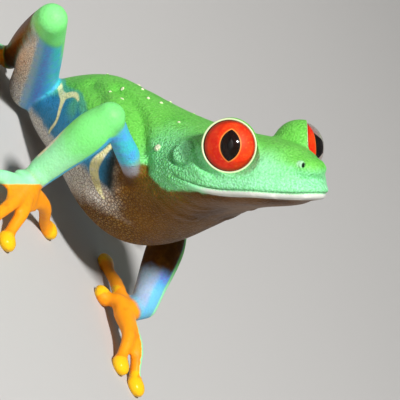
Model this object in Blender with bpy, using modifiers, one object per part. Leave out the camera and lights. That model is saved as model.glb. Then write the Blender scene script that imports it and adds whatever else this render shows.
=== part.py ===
"""Red-eyed tree frog (Agalychnis callidryas), an adult male at life size, sitting up on its hands and
feet with the head raised and turned. The flesh is one closed form, parted by thin cuts at the joints.

Axes: +Z up from the floor, -Y the way the frog faces, +X its left. Lengths are in millimetres from
the floor below the eyes until the last step, which brings every mesh to metres from the middle of
the floor under the frog.
"""

import math

import bmesh
import bpy
import numpy as np
from mathutils import Matrix, Vector
from mathutils.bvhtree import BVHTree

# --- Driving dimensions, in millimetres and degrees ---
EYE_HEIGHT = 28.6           # of the point midway between the eyes, above the floor
HEAD_PITCH = 43.6           # snout raised
HEAD_ROLL = 37.7            # left side raised
PELVIS_ROLL = 7.0           # what is left of that roll at the hips
TWIST_FROM, TWIST_TO = 7.0, 33.0   # the stretch behind the eyes that takes up the twist

EYE_SPREAD = 5.85           # eye centre from the midline
EYE_RADIUS = 2.97
EYE_AXIS_OUT = 44.0         # the eye looks this far out from straight ahead
EYE_AXIS_UP = 8.5
ORBIT_RADIUS = 3.3          # the bulge of skin round each eye
LID_AHEAD = 0.7             # the lids end this far in front of the eye's centre
SOCKET_GAP = 0.2            # between an eye and the flesh behind it

CUT = 0.3                   # thickness of a parting cut
NECK_BEHIND = 10.4          # the head is parted this far behind the eyes
SHOULDER_BEHIND = 14.0      # the shoulders lie this far behind the eyes
SHOULDER_CLEAR = 8.5        # the arms are parted this far from the midline
VOXEL = 0.3                 # grain of the union
SMOOTH_TURNS = 5
FLESH_TRIANGLES = 5100      # of the whole form, before the cuts add their own

MM = 0.001

# The body as cross-sections from snout to vent. Each row: distance ahead of the eyes, half width,
# height of the back, of the widest level and of the belly over the line of the eyes, and how square
# the section is above the widest level and below it (1 is an ellipse).
SECTIONS = (
    (9.0, 0.7, -2.0, -3.2, -4.3, 1.0, 1.0),
    (8.7, 1.6, -1.3, -3.5, -4.8, 1.0, 1.0),
    (8.0, 2.6, -0.5, -3.7, -5.1, 1.0, 1.0),
    (6.4, 4.0, 0.2, -3.9, -5.5, 1.0, 1.1),
    (4.0, 5.9, 0.9, -4.1, -6.2, 1.1, 1.1),
    (0.0, 7.4, 1.2, -4.3, -7.0, 1.1, 1.1),
    (-3.0, 8.2, 1.2, -4.5, -7.8, 1.1, 1.1),
    (-6.0, 8.5, 1.3, -4.7, -9.0, 1.1, 1.1),
    (-10.0, 8.2, 1.6, -4.8, -11.4, 1.05, 1.05),
    (-14.0, 7.8, 2.3, -4.6, -13.6, 1.05, 1.1),
    (-18.0, 7.9, 3.2, -4.4, -14.3, 1.05, 1.1),
    (-22.0, 7.4, 4.2, -3.8, -12.8, 1.05, 1.1),
    (-26.0, 6.4, 4.7, -2.8, -10.0, 1.1, 1.1),
    (-30.0, 5.6, 4.1, -2.0, -7.4, 1.1, 1.1),
    (-34.0, 4.8, 2.8, -1.4, -5.2, 1.0, 1.0),
    (-37.0, 3.0, 1.0, -1.0, -3.2, 1.0, 1.0),
    (-38.6, 0.8, -0.3, -0.9, -1.6, 1.0, 1.0),
)

# --- Joints. A finger or toe is given by where its pad stands on the floor ---
ARMS = {
    "right": {
        "shoulder": (-2.1, 3.5, 13.5),
        "elbow": (-13.4, 1.4, 16.0),
        "wrist": (-11.1, 1.7, 5.9),
        "palm": (-11.1, 0.4, 3.2),
        "palm_size": (2.2, 2.4, 1.1),
        "fingers": ((-0.9, 4.2), (-12.7, -8.5), (-17.2, -9.8), (-21.0, -4.6)),
        "webs": (0.55, 0.55, 0.5),
        "arches": (1.2, 1.2, 1.2, 1.2),
    },
    "left": {
        "shoulder": (9.6, 8.8, 17.6),
        "elbow": (15.2, 12.8, 9.9),
        "wrist": (15.5, 3.1, 3.9),
        "palm": (12.9, 0.5, 2.2),
        "palm_size": (1.2, 2.4, 1.0),
        "fingers": ((14.3, 11.8), (11.5, 3.5), (12.8, -7.4), (16.2, -8.2)),
        "webs": (0.2, 0.6, 0.78),
        "arches": (0.7, 1.2, 1.2, 1.2),
    },
}
LEGS = {
    "right": {
        "hip": (-4.3, 25.5, 3.3),
        "knee": (-19.0, 15.5, 13.6),
        "ankle": (-5.8, 30.6, 1.6),
        "sole": (-14.2, 26.4, 1.3),
        "toes": ((-11.4, 20.2), (-14.2, 16.2), (-18.6, 13.2), (-25.0, 12.4), (-26.2, 20.0)),
    },
    "left": {
        "hip": (3.4, 25.2, 4.6),
        "knee": (20.2, 21.8, 11.6),
        "ankle": (9.5, 40.2, 1.6),
        "sole": (14.6, 31.2, 1.3),
        "toes": ((16.5, 24.8), (21.5, 26.2), (25.8, 28.4), (30.5, 32.5), (26.0, 36.8)),
    },
}

# --- Thicknesses: radii from one end of a length to the other ---
UPPER_ARM = (1.5, 1.4, 1.3, 1.5)
FOREARM = (1.8, 2.3, 2.2, 1.9, 1.7)
THIGH = (2.9, 2.7, 2.5, 2.2, 1.9)
SHANK = (1.9, 2.05, 1.95, 1.6, 1.2)
TARSUS = (1.2, 1.1, 1.15, 1.35)
WRIST = (1.7, 1.2)
DIGIT = (1.25, 0.95, 0.8, 0.7, 0.76, 0.65)   # a little thicker at each joint
SOLE = (2.0, 2.2, 1.1)       # half sizes of the pad under the foot
DISC = (1.3, 1.45, 0.95)     # a digit's pad: half width, half length and half height
DISC_HEIGHT = 0.6            # of its centre
TOE_ARCHES = (0.7, 0.7, 0.7, 0.7, 0.7)    # how far each digit arches up
TOE_WEBS = (0.62, 0.62, 0.62, 0.62)       # share of the digit that each web runs along
WEB_THICKNESS = 0.7
WEB_HOLLOW = 0.38            # how deep the web's free edge curves in

# Radii of the parting blades, each a little over the flesh it goes through
SHOULDER_BLADE, ELBOW_BLADE, WRIST_BLADE = 4.6, 2.4, 1.95
HIP_BLADE, KNEE_BLADE, ANKLE_BLADE, SOLE_BLADE = 4.2, 2.6, 1.6, 2.0
DIGIT_BLADE, PAD_BLADE, NECK_BLADE = 1.6, 2.2, 11.0
HIP_SHARE, SOLE_SHARE = 0.3, 0.31    # where the thigh leaves the hip, and the tarsus the sole


# --- The pose of the body ---

def rolled(roll):
    """The head's left and up directions, for a body rolled by this many degrees."""
    pitch, roll = math.radians(HEAD_PITCH), math.radians(roll)
    level_up = np.array((0.0, math.sin(pitch), math.cos(pitch)))
    level_left = np.array((1.0, 0.0, 0.0))
    left = math.cos(roll) * level_left + math.sin(roll) * level_up
    up = math.cos(roll) * level_up - math.sin(roll) * level_left
    return left, up


def body_point(ahead, left=0.0, up=0.0):
    """A place given by its distance ahead of the eyes, to the left and above, on the twisted body."""
    pitch = math.radians(HEAD_PITCH)
    forward = np.array((0.0, -math.cos(pitch), math.sin(pitch)))
    share = min(max((-ahead - TWIST_FROM) / (TWIST_TO - TWIST_FROM), 0.0), 1.0)
    share = share * share * (3 - 2 * share)
    side, top = rolled(HEAD_ROLL + share * (PELVIS_ROLL - HEAD_ROLL))
    return np.array((0.0, 0.0, EYE_HEIGHT)) + ahead * forward + left * side + up * top


def smooth_line(points, steps):
    """A Catmull-Rom curve through the points, with this many steps between two of them."""
    p = np.array(points, float)
    p = np.vstack((2 * p[0] - p[1], p, 2 * p[-1] - p[-2]))
    line = []
    for i in range(1, len(p) - 2):
        for t in np.arange(steps) / steps:
            line.append(0.5 * (2 * p[i] + (p[i + 1] - p[i - 1]) * t
                        + (2 * p[i - 1] - 5 * p[i] + 4 * p[i + 1] - p[i + 2]) * t ** 2
                        + (3 * p[i] - p[i - 1] - 3 * p[i + 1] + p[i + 2]) * t ** 3))
    line.append(p[-2])
    return np.array(line)


# --- Shapes ---

def put(mesh, name):
    """A new object in the scene."""
    obj = bpy.data.objects.new(name, mesh)
    bpy.context.scene.collection.objects.link(obj)
    return obj


def mesh_of(bm, name):
    """The BMesh as a mesh of its own."""
    mesh = bpy.data.meshes.new(name)
    bm.to_mesh(mesh)
    bm.free()
    return mesh


def ball(centre, radii, turn=None, segments=24):
    """An ellipsoid: a sphere primitive stretched to three radii and turned."""
    bm = bmesh.new()
    bmesh.ops.create_uvsphere(bm, u_segments=segments, v_segments=segments // 2, radius=1.0)
    stretch = Matrix.Diagonal((*radii, 1.0))
    turn = turn.to_4x4() if turn else Matrix()
    bm.transform(Matrix.Translation(centre) @ turn @ stretch)
    return put(mesh_of(bm, "ball"), "ball")


def limb(path, radii, steps=8):
    """A round limb: a bevelled curve along the path, its radius running through the given ones."""
    line = smooth_line(path, steps)
    sizes = smooth_line([(r, 0, 0) for r in radii], steps)[:, 0]
    sizes = np.interp(np.linspace(0, 1, len(line)), np.linspace(0, 1, len(sizes)), sizes)
    curve = bpy.data.curves.new("limb", "CURVE")
    curve.dimensions = "3D"
    curve.bevel_depth = 1.0
    curve.bevel_resolution = 4
    curve.use_fill_caps = True
    spline = curve.splines.new("POLY")
    spline.points.add(len(line) - 1)
    for point, place, size in zip(spline.points, line, sizes):
        point.co = (*place, 1.0)
        point.radius = size
    tube = put(curve, "limb")
    for end, size in ((line[0], sizes[0]), (line[-1], sizes[-1])):
        ball(end, (size, size, size))
    return as_mesh(tube)


def as_mesh(obj):
    """The object with its modifiers and curves turned into a plain welded mesh."""
    graph = bpy.context.evaluated_depsgraph_get()
    graph.update()
    mesh = bpy.data.meshes.new_from_object(obj.evaluated_get(graph))
    mesh.transform(obj.matrix_world)
    bm = bmesh.new()
    bm.from_mesh(mesh)
    bmesh.ops.remove_doubles(bm, verts=bm.verts, dist=1e-4)
    bm.to_mesh(mesh)
    bm.free()
    name = obj.name
    bpy.data.objects.remove(obj)
    return put(mesh, name)


def body_loft():
    """The head and trunk: rings of unlike sections along the twisted body, closed at both ends."""
    around = 40
    rows = smooth_line(SECTIONS, 4)
    turn = np.linspace(0, 2 * np.pi, around, endpoint=False)
    bm = bmesh.new()
    rings = []
    for ahead, width, back, middle, belly, above, below in rows:
        ring = []
        for a in turn:
            square = above if math.sin(a) > 0 else below
            reach = (back - middle) if math.sin(a) > 0 else (middle - belly)
            side = width * math.copysign(abs(math.cos(a)) ** (1 / square), math.cos(a))
            rise = reach * math.copysign(abs(math.sin(a)) ** (1 / square), math.sin(a))
            ring.append(bm.verts.new(body_point(ahead, side, middle + rise)))
        rings.append(ring)
    for front, behind in zip(rings, rings[1:]):
        for i in range(around):
            j = (i + 1) % around
            bm.faces.new((front[i], front[j], behind[j], behind[i]))
    bm.faces.new(rings[0][::-1])
    bm.faces.new(rings[-1])
    bmesh.ops.recalc_face_normals(bm, faces=bm.faces)
    return put(mesh_of(bm, "body"), "body")


def eye_place(side):
    """The centre of an eye, and the way it looks. The side is +1 for the left eye, -1 for the right."""
    centre = body_point(0.0, side * EYE_SPREAD, 0.0)
    out, lift = math.radians(EYE_AXIS_OUT), math.radians(EYE_AXIS_UP)
    aim = body_point(math.cos(out) * math.cos(lift), side * math.sin(out) * math.cos(lift),
                     math.sin(lift)) - body_point(0.0)
    return Vector(centre), Vector(aim)


def digit_path(start, tip, knuckle):
    """From the palm or sole to a pad on the floor, arching over a knuckle of the given height."""
    start, tip = np.array(start), np.array((*tip, DISC_HEIGHT + 0.2))
    bend = start + 0.5 * (tip - start)
    bend[2] = max(start[2], tip[2]) * 0.5 + knuckle
    near = start + 0.84 * (tip - start)
    near[2] = tip[2] + 0.15 * knuckle
    return [start, bend, near, tip]


def digit(path):
    """A finger or toe with its round pad."""
    limb(path, DIGIT, steps=6)
    along = Vector(path[-1] - path[1])
    turn = Matrix.Rotation(math.atan2(along.y, along.x) - math.pi / 2, 3, "Z")
    ball((path[-1][0], path[-1][1], DISC_HEIGHT), DISC, turn)


def web(first, second, reach):
    """The skin between two digits: a sheet with a hollow free edge, thickened to both sides."""
    across, along = 7, 7
    a, b = smooth_line(first, 10), smooth_line(second, 10)
    bm = bmesh.new()
    grid = []
    for i in range(across):
        v = i / (across - 1)
        pull = 1 - WEB_HOLLOW * math.sin(math.pi * v)
        row = []
        for j in range(along):
            t = reach * pull * j / (along - 1)
            one = a[int(round(t * (len(a) - 1)))]
            other = b[int(round(t * (len(b) - 1)))]
            row.append(bm.verts.new(one + (other - one) * v))
        grid.append(row)
    for one, other in zip(grid, grid[1:]):
        for j in range(1, along):
            bm.faces.new((one[j - 1], one[j], other[j], other[j - 1]))
    sheet = put(mesh_of(bm, "web"), "web")
    thick = sheet.modifiers.new("thickness", "SOLIDIFY")
    thick.thickness = WEB_THICKNESS
    thick.offset = 0.0
    return as_mesh(sheet)


def cut_at(place, along, radius, long_way=None, depth=CUT):
    """A thin disc across a limb, which parts it there. Given a long way, it is an oval that reaches
    that far to both sides."""
    bm = bmesh.new()
    bmesh.ops.create_cone(bm, cap_ends=True, segments=12, radius1=radius, radius2=radius,
                          depth=depth)
    turn = Vector(along).to_track_quat("Z", "Y").to_matrix().to_4x4()
    if long_way is not None:
        z, x = Vector(along).normalized(), Vector(long_way).normalized()
        turn = Matrix((x, z.cross(x), z)).transposed().to_4x4()
        turn = turn @ Matrix.Diagonal((Vector(long_way).length / radius, 1, 1, 1))
    bm.transform(Matrix.Translation(place) @ turn)
    return put(mesh_of(bm, "cut"), "cut")


def joined(objects, name):
    """All the objects' faces in one mesh."""
    bm = bmesh.new()
    for obj in objects:
        bm.from_mesh(obj.data)
        bpy.data.objects.remove(obj)
    return put(mesh_of(bm, name), name)


def less(obj, cutter):
    """The object with the cutter's space taken out of it."""
    cut = obj.modifiers.new("cut", "BOOLEAN")
    cut.operation = "DIFFERENCE"
    cut.object = cutter
    cut.solver = "EXACT"
    obj = as_mesh(obj)
    bpy.data.objects.remove(cutter)
    return obj


def loose_parts(obj):
    """One object for each body of the mesh that isn't joined to the others."""
    bm = bmesh.new()
    bm.from_mesh(obj.data)
    bpy.data.objects.remove(obj)
    left, made = set(bm.verts), []
    while left:
        group, edge = set(), [left.pop()]
        while edge:
            v = edge.pop()
            group.add(v.index)
            fresh = {e.other_vert(v) for e in v.link_edges} & left
            left -= fresh
            edge.extend(fresh)
        piece = bm.copy()
        others = [v for v in piece.verts if v.index not in group]
        bmesh.ops.delete(piece, geom=others, context="VERTS")
        made.append(put(mesh_of(piece, "piece"), "piece"))
    bm.free()
    return made


def tree(obj):
    """The object's faces in a form that can be searched."""
    bm = bmesh.new()
    bm.from_mesh(obj.data)
    made = BVHTree.FromBMesh(bm)
    bm.free()
    return made


def parted(piece, *cut):
    """The piece, or what a blade leaves of it where the blade meets it."""
    blade = cut_at(*cut)
    if not tree(blade).overlap(tree(piece)):
        bpy.data.objects.remove(blade)
        return [piece]
    return loose_parts(less(piece, blade))


def bend_cut(before, bend, after, thick):
    """A cut through a bend, halfway between the two lengths. A tight bend's flesh runs together on its
    inner side for the limb's radius over the sine of half the angle, and the cut reaches past that."""
    one, other = before - bend, after - bend
    one, other = one / np.linalg.norm(one), other / np.linalg.norm(other)
    inner = one + other
    reach = thick / math.sin(0.5 * math.acos(one @ other))
    inner = inner / np.linalg.norm(inner)
    place = bend + 0.5 * (reach - thick) * inner
    return place, other - one, thick + 0.6, (0.5 * (reach + thick) + 0.6) * inner


def shoulder_cut(shoulder, elbow):
    """A cut beside the trunk, square to its side, where the upper arm comes clear of it."""
    origin = body_point(-SHOULDER_BEHIND)
    side = body_point(-SHOULDER_BEHIND, 1.0) - origin
    inner, outer = abs((shoulder - origin) @ side), abs((elbow - origin) @ side)
    clear = (SHOULDER_CLEAR - inner) / (outer - inner)
    return shoulder + clear * (elbow - shoulder), side, SHOULDER_BLADE


# --- The frog ---

def lay_digits(paths, webs, side, kind, cuts, seeds):
    """The digits of one hand or foot, the webs between them, and a cut where each leaves its web."""
    for number, path in enumerate(paths, 1):
        digit(path)
        line = smooth_line(path, 10)
        share = max(max(webs[max(number - 2, 0):number]) + 0.06, 2.6 / np.linalg.norm(path[-1] - path[0]))
        at = int(round(share * (len(line) - 1)))
        cuts.append((line[at], line[at + 1] - line[at - 1], DIGIT_BLADE))
        seeds["%s_%d_%s" % (kind, number, side)] = path[-1]
    for one, other, reach in zip(paths, paths[1:], webs):
        web(one, other, reach)
        # a pad that touches the next digit is parted from it too
        line, pad = smooth_line(one, 10), other[-1]
        near = line[np.linalg.norm(line - pad, axis=1).argmin()] - pad
        if np.linalg.norm(near) < DISC[0] + DIGIT[1] + CUT:
            cuts.append((pad + DISC[0] / (DISC[0] + DIGIT[1]) * near, near, PAD_BLADE))


def lay_arms(cuts, seeds):
    """Both arms with their hands."""
    for side, arm in ARMS.items():
        shoulder, elbow, wrist, palm = (np.array(arm[k]) for k in ("shoulder", "elbow", "wrist", "palm"))
        limb([shoulder, 0.5 * (shoulder + elbow), elbow], UPPER_ARM)
        limb([elbow, 0.5 * (elbow + wrist), wrist], FOREARM)
        limb([wrist, palm], WRIST)
        ball(palm, arm["palm_size"])
        cuts.append(shoulder_cut(shoulder, elbow))
        cuts.append(bend_cut(shoulder, elbow, wrist, ELBOW_BLADE))
        cuts.append(bend_cut(elbow, wrist, palm, WRIST_BLADE))
        seeds["upper_arm_" + side] = shoulder + 0.72 * (elbow - shoulder)
        seeds["forearm_" + side] = elbow + 0.55 * (wrist - elbow)
        seeds["hand_" + side] = palm
        paths = [digit_path(palm, *digit) for digit in zip(arm["fingers"], arm["arches"])]
        lay_digits(paths, arm["webs"], side, "finger", cuts, seeds)


def lay_legs(cuts, seeds):
    """Both hind legs with their feet."""
    for side, leg in LEGS.items():
        hip, knee, ankle, sole = (np.array(leg[k]) for k in ("hip", "knee", "ankle", "sole"))
        limb([hip, 0.5 * (hip + knee), knee], THIGH)
        limb([knee, 0.5 * (knee + ankle), ankle], SHANK)
        limb([ankle, 0.5 * (ankle + sole), sole], TARSUS)
        ball(sole, SOLE)
        cuts.append((hip + HIP_SHARE * (knee - hip), knee - hip, HIP_BLADE))
        cuts.append(bend_cut(hip, knee, ankle, KNEE_BLADE))
        cuts.append(bend_cut(knee, ankle, sole, ANKLE_BLADE))
        cuts.append((sole + SOLE_SHARE * (ankle - sole), sole - ankle, SOLE_BLADE))
        seeds["thigh_" + side] = hip + 0.65 * (knee - hip)
        seeds["shank_" + side] = knee + 0.5 * (ankle - knee)
        seeds["tarsus_" + side] = ankle + 0.5 * (sole - ankle)
        seeds["foot_" + side] = sole
        paths = [digit_path(sole, *digit) for digit in zip(leg["toes"], TOE_ARCHES)]
        lay_digits(paths, TOE_WEBS, side, "toe", cuts, seeds)


def lay_body(cuts, seeds):
    """The head and trunk, with the bulges that hold the eyes."""
    body_loft()
    for side in EYES.values():
        ball(eye_place(side)[0], (ORBIT_RADIUS,) * 3)
    neck = body_point(-NECK_BEHIND, 0, -4.5)
    cuts.append((neck, neck - body_point(1 - NECK_BEHIND, 0, -4.5), NECK_BLADE))
    seeds["head"] = body_point(-5, 0, -3)
    seeds["trunk"] = body_point(-20, 0, -4)


def united():
    """Everything laid so far as one smooth closed mesh of few triangles."""
    flesh = joined(list(bpy.data.objects), "flesh")
    union = flesh.modifiers.new("union", "REMESH")
    union.mode = "VOXEL"
    union.voxel_size = VOXEL
    soften = flesh.modifiers.new("soften", "SMOOTH")
    soften.factor = 0.5
    soften.iterations = SMOOTH_TURNS
    flesh = as_mesh(flesh)
    flesh.data.calc_loop_triangles()
    facets = flesh.modifiers.new("facets", "DECIMATE")
    facets.ratio = FLESH_TRIANGLES / len(flesh.data.loop_triangles)
    return as_mesh(flesh)


def floor_block():
    """The floor. It takes a flat off whatever rests on it."""
    bm = bmesh.new()
    bmesh.ops.create_cube(bm, size=1.0)
    bm.transform(Matrix.Translation((0, 15, -10)) @ Matrix.Diagonal((120, 120, 20, 1)))
    return put(mesh_of(bm, "floor"), "floor")


def socketed(flesh, side):
    """The flesh with a round socket for one eye, open forward and out between its lids."""
    centre, aim = eye_place(side)
    flesh = less(flesh, ball(centre, (EYE_RADIUS + SOCKET_GAP,) * 3, segments=20))
    deep = 4.0
    window = cut_at(centre + (LID_AHEAD + 0.5 * deep) * aim, aim, EYE_RADIUS + 0.6, depth=deep)
    return less(flesh, window)


COLOURS = {
    "green": ((0.13, 0.55, 0.10, 1), 0.4),
    "blue": ((0.10, 0.28, 0.62, 1), 0.45),
    "orange": ((0.90, 0.33, 0.02, 1), 0.35),
    "red": ((0.75, 0.03, 0.01, 1), 0.1),
}
WORN_BY = {"hand": "orange", "finger": "orange", "foot": "orange", "toe": "orange",
           "upper": "blue", "thigh": "blue", "eye": "red"}
EYES = {"left": 1, "right": -1}


def coloured(obj):
    """Gives a piece the plain surface that goes with the first word of its name."""
    name = WORN_BY.get(obj.name.split("_")[0], "green")
    colour, roughness = COLOURS[name]
    material = bpy.data.materials.get(name) or bpy.data.materials.new(name)
    material.use_nodes = True
    surface = material.node_tree.nodes["Principled BSDF"]
    surface.inputs["Base Color"].default_value = colour
    surface.inputs["Roughness"].default_value = roughness
    obj.data.materials.append(material)


def holds(shell, seed):
    """Whether a closed surface holds the seed: a line from there meets it an odd number of times."""
    place, way, met = Vector(seed), Vector((0.31, 0.17, 0.93)).normalized(), 0
    while place:
        place = shell.ray_cast(place, way)[0]
        if place:
            met += 1
            place = place + 1e-4 * way
    return met % 2 == 1


def name_pieces(pieces, seeds):
    """Names each piece by the seed point that lies in it."""
    trees = {piece: tree(piece) for piece in pieces}
    for name, seed in seeds.items():
        for piece in pieces:
            if holds(trees[piece], seed):
                piece.name = name


def stand_on_origin(objects):
    """Moves the frog so that the middle of the floor under it is the origin, and makes it metres."""
    points = np.array([v.co for obj in objects for v in obj.data.vertices])
    middle = 0.5 * (points.min(axis=0) + points.max(axis=0))
    shift = Matrix.Translation((-middle[0], -middle[1], -points[:, 2].min()))
    for obj in objects:
        obj.data.transform(Matrix.Scale(MM, 4) @ shift)


def main():
    for obj in list(bpy.data.objects):
        bpy.data.objects.remove(obj)
    cuts, seeds = [], {}
    lay_arms(cuts, seeds)
    lay_legs(cuts, seeds)
    lay_body(cuts, seeds)
    flesh = less(united(), floor_block())
    for side in EYES.values():
        flesh = socketed(flesh, side)
    pieces = [flesh]
    for cut in cuts:
        pieces = [half for piece in pieces for half in parted(piece, *cut)]
    name_pieces(pieces, seeds)
    for name, side in EYES.items():
        ball(eye_place(side)[0], (EYE_RADIUS,) * 3, segments=20).name = "eye_" + name
    stand_on_origin(bpy.data.objects)
    for obj in bpy.data.objects:
        coloured(obj)
        obj.data.shade_smooth()


main()
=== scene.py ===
"""A red-eyed tree frog at life size, as a still museum model: one painted skin over head, trunk and
limbs, and two wet eyes set in it. Sizes are millimetres, and places are measured from the floor under
the eyes. Each mesh is brought to the frame's metres as it is made.
"""
from functools import reduce

import bpy
import numpy as np
from mathutils import Matrix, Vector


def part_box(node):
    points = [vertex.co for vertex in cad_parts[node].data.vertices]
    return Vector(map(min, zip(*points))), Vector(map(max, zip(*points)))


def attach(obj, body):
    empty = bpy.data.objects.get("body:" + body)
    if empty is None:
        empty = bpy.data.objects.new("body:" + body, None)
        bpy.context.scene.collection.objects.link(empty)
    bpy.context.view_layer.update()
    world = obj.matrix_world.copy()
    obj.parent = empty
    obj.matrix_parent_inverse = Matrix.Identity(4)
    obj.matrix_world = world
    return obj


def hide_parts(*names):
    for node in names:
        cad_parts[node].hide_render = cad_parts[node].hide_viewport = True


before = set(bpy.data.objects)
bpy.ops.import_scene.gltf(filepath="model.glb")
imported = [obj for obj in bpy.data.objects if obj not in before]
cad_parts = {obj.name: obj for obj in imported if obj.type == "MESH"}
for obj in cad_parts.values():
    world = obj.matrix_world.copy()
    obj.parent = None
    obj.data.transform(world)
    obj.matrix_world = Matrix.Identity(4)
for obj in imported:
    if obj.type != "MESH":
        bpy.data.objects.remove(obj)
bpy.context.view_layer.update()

# ------------------------------
# Head and trunk. One bag of moist skin over skull and belly, with no neck. Here it is a closed form
# lofted from snout to vent. It is twisted: the head is rolled with its left side up, the hips hardly.

EYES_AT = np.array((0.0, 0.0, 28.6))
HEAD_PITCH, HEAD_ROLL, HIP_ROLL = np.radians((43.6, 37.7, 7.0))
TWIST_FROM, TWIST_TO = 7.0, 33.0  # the stretch behind the eyes that takes up the twist
EYE_SPREAD = 5.85  # eye centre from the midline
ORBIT_RADIUS = 3.3  # the bulge of skin round each eye
# distance ahead of the eyes, half width, height of the back, of the widest level and of the belly
# over the line of the eyes, and how square the section is above and below its widest level
BODY_ROWS = (
    (9, 0.7, -2, -3.2, -4.3, 1, 1), (8.7, 1.6, -1.3, -3.5, -4.8, 1, 1),
    (8, 2.6, -0.5, -3.7, -5.1, 1, 1), (6.4, 4, 0.2, -3.9, -5.5, 1, 1.1),
    (4, 5.9, 0.9, -4.1, -6.2, 1.1, 1.1), (0, 7.4, 1.2, -4.3, -7, 1.1, 1.1),
    (-3, 8.2, 1.2, -4.5, -7.8, 1.1, 1.1), (-6, 8.5, 1.3, -4.7, -9, 1.1, 1.1),
    (-10, 8.2, 1.6, -4.8, -11.4, 1.05, 1.05), (-14, 7.8, 2.3, -4.6, -13.6, 1.05, 1.1),
    (-18, 7.9, 3.2, -4.4, -14.3, 1.05, 1.1), (-22, 7.4, 4.2, -3.8, -12.8, 1.05, 1.1),
    (-26, 6.4, 4.7, -2.8, -10, 1.1, 1.1), (-30, 5.6, 4.1, -2, -7.4, 1.1, 1.1),
    (-34, 4.8, 2.8, -1.4, -5.2, 1, 1), (-37, 3, 1, -1, -3.2, 1, 1),
    (-38.6, 0.8, -0.3, -0.9, -1.6, 1, 1))
FORWARD = np.array((0.0, -np.cos(HEAD_PITCH), np.sin(HEAD_PITCH)))
BODY_STEPS = 5  # rings from one row of sizes to the next


def ease(low, high, value):
    """0 below low, 1 above high, and 3t^2 - 2t^3 between them."""
    t = np.clip((value - low) / (high - low), 0.0, 1.0)
    return t * t * (3 - 2 * t)


def hump(value, middle, width):
    """A bell, 1 at the middle and falling as exp(-(distance / width)^2)."""
    return np.exp(-((value - middle) / width) ** 2)


def unit(vectors):
    """Each vector over its own length."""
    return vectors / np.linalg.norm(vectors, axis=-1, keepdims=True)


def through(points, steps):
    """A Catmull-Rom curve: on each span, so many steps along the cubic that meets both ends with
    their neighbours' slope."""
    p = np.asarray(points, float)
    p = np.vstack((2 * p[:1] - p[1:2], p, 2 * p[-1:] - p[-2:-1]))
    t = (np.arange(steps) / steps)[None, :, None]
    a, b, c, d = (p[i:len(p) - 3 + i][:, None] for i in range(4))
    spans = 0.5 * (2 * b + (c - a) * t + (2 * a - 5 * b + 4 * c - d) * t ** 2
                   + (3 * b - a - 3 * c + d) * t ** 3)
    return np.vstack((spans.reshape(-1, p.shape[1]), p[-2:-1]))


def once_round(count):
    """Angles spread evenly once round."""
    return np.linspace(0, 2 * np.pi, count, endpoint=False)


def leaning(ahead):
    """The body's left and up directions at a distance ahead of the eyes: level axes, pitched with
    the head, then rolled about FORWARD by an angle that eases from the head's to the hips'."""
    share = ease(TWIST_FROM, TWIST_TO, -ahead)
    roll = (HEAD_ROLL + share * (HIP_ROLL - HEAD_ROLL))[..., None]
    level_left = np.array((1.0, 0.0, 0.0))
    level_up = np.array((0.0, np.sin(HEAD_PITCH), np.cos(HEAD_PITCH)))
    left = np.cos(roll) * level_left + np.sin(roll) * level_up
    return left, np.cos(roll) * level_up - np.sin(roll) * level_left


def on_body(ahead, side, rise):
    """The place so far ahead of the eyes, to the left of the midline and above the eyes' line."""
    ahead, side, rise = (np.asarray(v, float)[..., None] for v in (ahead, side, rise))
    left, up = leaning(ahead[..., 0])
    return EYES_AT + ahead * FORWARD + side * left + rise * up


def off_body(points):
    """The reverse of on_body: each point's distance ahead, to the left and above."""
    ahead = (points - EYES_AT) @ FORWARD
    left, up = leaning(ahead)
    return ahead, ((points - EYES_AT) * left).sum(-1), ((points - EYES_AT) * up).sum(-1)


def rings(grid):
    """A closed form from a grid of rings: its points, and quads between rings with a face on each end."""
    rows, around = grid.shape[:2]
    index = np.arange(rows * around).reshape(rows, around)
    turned = np.roll(index, -1, axis=1)
    quads = np.stack((index[:-1], turned[:-1], turned[1:], index[1:]), -1).reshape(-1, 4)
    return grid.reshape(-1, 3), quads.tolist() + [index[0, ::-1].tolist(), index[-1].tolist()]


def ball(centre, radii, axes=np.eye(3), across=26, around=40):
    """An ellipsoid: a ring of latitude at each angle b, cos b wide and sin b high, times the radii."""
    b = np.linspace(-np.pi / 2, np.pi / 2, across)[:, None]
    a = once_round(around)[None, :]
    shape = np.stack((np.cos(b) * np.cos(a), np.cos(b) * np.sin(a), np.sin(b) + 0 * a), -1)
    return rings(np.asarray(centre) + (shape * radii) @ axes)


def trunk_form(around=72):
    """Each row of sizes is an ellipse-like ring: side and rise go as cos and sin of the turn, raised
    to one over the squareness, with their own reach above and below the widest level."""
    ahead, width, back, middle, belly, above, below = through(BODY_ROWS, BODY_STEPS).T[:, :, None]
    a = once_round(around)[None, :]
    top = np.sin(a) > 0
    power = 1 / np.where(top, above, below)
    side = width * np.sign(np.cos(a)) * np.abs(np.cos(a)) ** power
    rise = np.where(top, back - middle, middle - belly) * np.sign(np.sin(a)) * np.abs(np.sin(a)) ** power
    return rings(on_body(ahead + 0 * a, side, middle + rise))


flesh = [trunk_form()]
flesh += [ball(on_body(0.0, side * EYE_SPREAD, 0.0), ORBIT_RADIUS) for side in (1, -1)]

# ------------------------------
# Arms and hands. Thin upper arm, thick forearm, and four fingers with round sticky pads, joined at
# their roots by thin webs. Every pad stands on the floor.

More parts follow.
